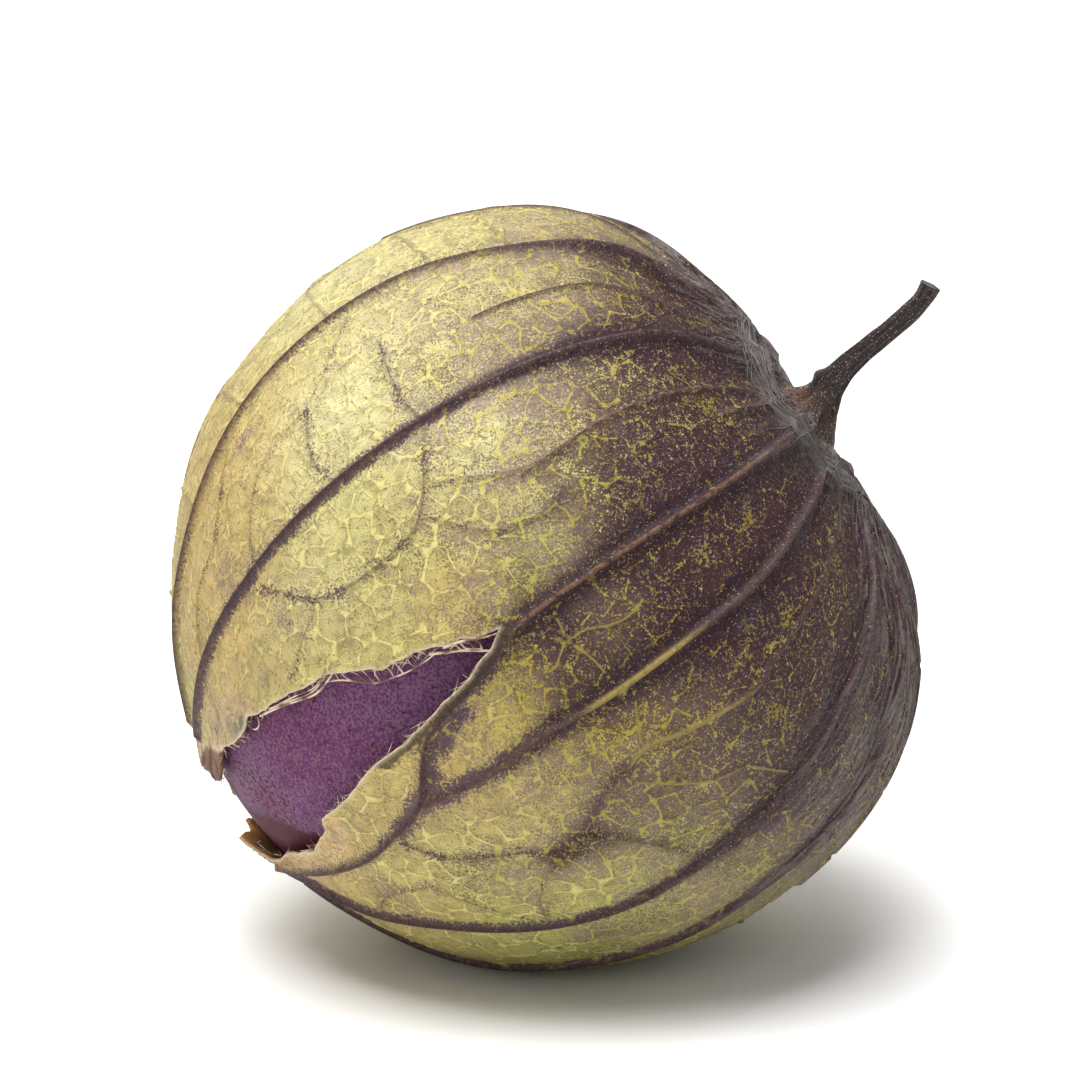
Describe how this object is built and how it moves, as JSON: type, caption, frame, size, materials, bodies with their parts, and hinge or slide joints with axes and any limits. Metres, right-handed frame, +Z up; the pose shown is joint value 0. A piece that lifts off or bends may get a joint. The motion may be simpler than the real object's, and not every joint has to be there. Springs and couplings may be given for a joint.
{
  "type": "tomatillo",
  "caption": "Tomatillo lying in its torn papery husk, with ribs, a raised net of veins, an open mouth and a short bent stem.",
  "frame": {"origin": "middle of the small flat spot that the husk rests on, under the fruit's centre", "axes": "+Z up from the surface it lies on; the fruit's axis leans in the XZ plane, with the stem towards +X and 34.5 degrees above the surface; the torn side faces -Y and -X"},
  "size_m": [0.0519, 0.0514, 0.0503],
  "materials": {
    "husk_paper": "matte",
    "fruit_skin": "satin",
    "stem_wood": "matte"
  },
  "bodies": {
    "root": {"husk": "husk_paper", "fruit": "fruit_skin", "stem": "stem_wood"}
  },
  "joints": []
}
